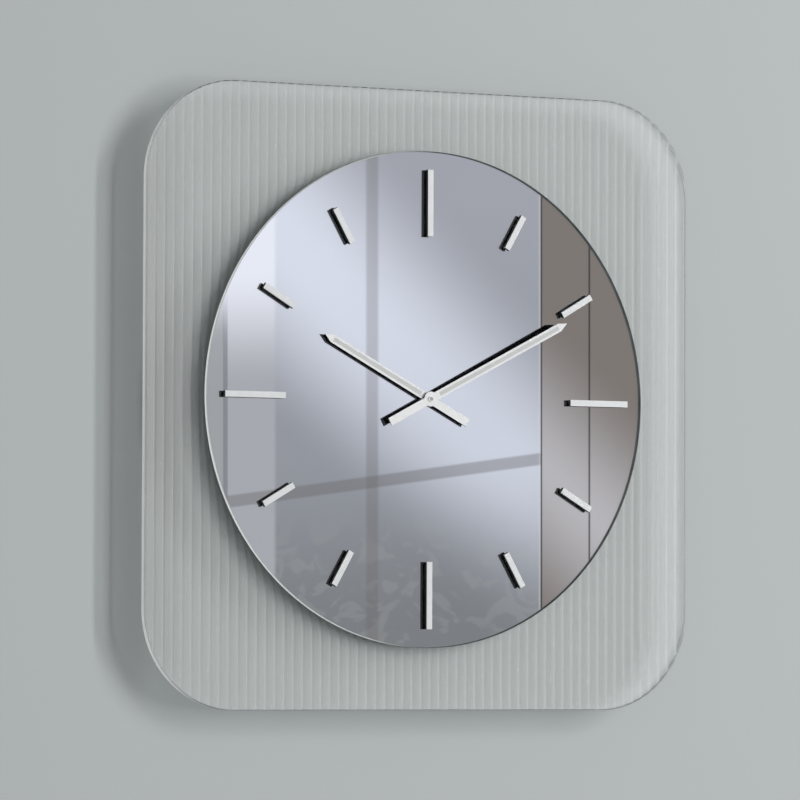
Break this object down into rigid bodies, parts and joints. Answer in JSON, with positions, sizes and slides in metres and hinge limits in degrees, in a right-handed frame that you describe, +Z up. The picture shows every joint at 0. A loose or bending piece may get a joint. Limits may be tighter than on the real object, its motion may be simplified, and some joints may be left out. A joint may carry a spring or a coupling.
{
  "type": "wall clock",
  "caption": "Square wall clock: a fluted glass panel with round corners carries a round mirror dial with raised hour bars, two flat hands and a battery movement behind.",
  "frame": {"origin": "on the wall's face, at the middle of the hanging screw's seat at the top of the keyhole slot in the upper rear bar", "axes": "+X to the right seen from the front, +Y into the wall, +Z up; the dial faces -Y and its middle is 84 mm below the origin"},
  "size_m": [0.498, 0.0459, 0.5],
  "materials": {
    "fluted_glass": "gloss",
    "panel_film": "satin",
    "mirror_glass": "gloss",
    "silver": "gloss",
    "aluminium": "satin",
    "bond_foam": "matt",
    "nylon": "satin",
    "post_metal": "satin",
    "screw_steel": "satin",
    "bar_steel": "satin",
    "rubber": "matt",
    "black_acrylic": "gloss",
    "satin_face": "satin",
    "case_plastic": "matt",
    "brass": "satin",
    "bridge_plastic": "satin",
    "board": "satin",
    "chip": "gloss",
    "crystal_can": "gloss",
    "soft_iron": "satin",
    "copper": "satin",
    "contact_plate": "satin",
    "battery_sleeve": "gloss",
    "magnet": "satin",
    "wheel_plastic": "satin",
    "arbor_steel": "gloss",
    "hand_metal": "satin"
  },
  "bodies": {
    "frame": {"fluted_panel": "fluted_glass", "panel_film": "panel_film", "mirror_glass": "mirror_glass", "mirror_silvering": "silver", "mirror_standoffs": "aluminium", "standoff_pads": "bond_foam", "panel_bushes": "nylon", "panel_washers": "nylon", "spacer_posts": "post_metal", "post_screws": "screw_steel", "hanger_bar": "bar_steel", "lower_bar": "bar_steel", "wall_bumpers": "rubber", "hour_bar_01": "black_acrylic", "hour_bar_02": "black_acrylic", "hour_bar_03": "black_acrylic", "hour_bar_04": "black_acrylic", "hour_bar_05": "black_acrylic", "hour_bar_06": "black_acrylic", "hour_bar_07": "black_acrylic", "hour_bar_08": "black_acrylic", "hour_bar_09": "black_acrylic", "hour_bar_10": "black_acrylic", "hour_bar_11": "black_acrylic", "hour_bar_12": "black_acrylic", "bar_faces": "satin_face", "movement_case": "case_plastic", "movement_cover": "case_plastic", "cover_screws": "screw_steel", "threaded_bush": "brass", "bush_gasket": "rubber", "bush_washer": "screw_steel", "bush_nut": "brass", "train_bridge": "bridge_plastic", "circuit_board": "board", "control_chip": "chip", "quartz_crystal": "crystal_can", "stator": "soft_iron", "coil_core": "soft_iron", "coil_bobbin": "bridge_plastic", "coil_winding": "copper", "contact_positive": "contact_plate", "contact_negative": "contact_plate"},
    "battery": {"battery": "battery_sleeve"},
    "rotor": {"rotor_magnet": "magnet", "rotor_pinion": "wheel_plastic"},
    "intermediate": {"intermediate_wheel": "wheel_plastic"},
    "second": {"second_wheel": "wheel_plastic"},
    "third": {"third_wheel": "wheel_plastic"},
    "centre": {"centre_wheel": "wheel_plastic"},
    "minute": {"minute_arbor": "arbor_steel", "minute_hand": "hand_metal", "hand_nut": "arbor_steel"},
    "reverser": {"reverser_wheel": "wheel_plastic"},
    "hour": {"hour_wheel": "wheel_plastic", "hour_hand": "hand_metal"},
    "knob": {"setting_knob": "case_plastic"}
  },
  "joints": [
    {"name": "minute_turn", "type": "hinge", "parent": "frame", "child": "minute", "pos_m": [0, -0.012, -0.084], "axis": [0, 1, 0], "continuous": true},
    {"name": "hour_turn", "type": "hinge", "parent": "frame", "child": "hour", "pos_m": [0, -0.012, -0.084], "axis": [0, 1, 0], "continuous": true},
    {"name": "reverser_turn", "type": "hinge", "parent": "frame", "child": "reverser", "pos_m": [0.0046, -0.012, -0.08786], "axis": [0, 1, 0], "continuous": true},
    {"name": "knob_turn", "type": "hinge", "parent": "frame", "child": "knob", "pos_m": [0.01135, -0.012, -0.08786], "axis": [0, 1, 0], "continuous": true},
    {"name": "rotor_turn", "type": "hinge", "parent": "frame", "child": "rotor", "pos_m": [0.01145, -0.012, -0.07772], "axis": [0, 1, 0], "continuous": true},
    {"name": "intermediate_turn", "type": "hinge", "parent": "frame", "child": "intermediate", "pos_m": [0.004, -0.012, -0.07707], "axis": [0, 1, 0], "continuous": true},
    {"name": "second_turn", "type": "hinge", "parent": "frame", "child": "second", "pos_m": [0, -0.012, -0.084], "axis": [0, 1, 0], "continuous": true},
    {"name": "third_turn", "type": "hinge", "parent": "frame", "child": "third", "pos_m": [-0.00883, -0.012, -0.0789], "axis": [0, 1, 0], "continuous": true},
    {"name": "centre_turn", "type": "hinge", "parent": "frame", "child": "centre", "pos_m": [0, -0.012, -0.084], "axis": [0, 1, 0], "continuous": true},
    {"name": "battery_slide", "type": "slide", "parent": "frame", "child": "battery", "axis": [0, 1, 0], "range_m": [0, 0.016]}
  ],
  "couplings": [
    {"joint": "reverser_turn", "follows": "minute_turn", "ratio": -0.33333},
    {"joint": "hour_turn", "follows": "minute_turn", "ratio": 0.083333},
    {"joint": "knob_turn", "follows": "minute_turn", "ratio": 0.66667},
    {"joint": "intermediate_turn", "follows": "rotor_turn", "ratio": -0.13333},
    {"joint": "second_turn", "follows": "rotor_turn", "ratio": 0.033333},
    {"joint": "third_turn", "follows": "rotor_turn", "ratio": -0.0044444},
    {"joint": "centre_turn", "follows": "rotor_turn", "ratio": 0.00055556}
  ]
}
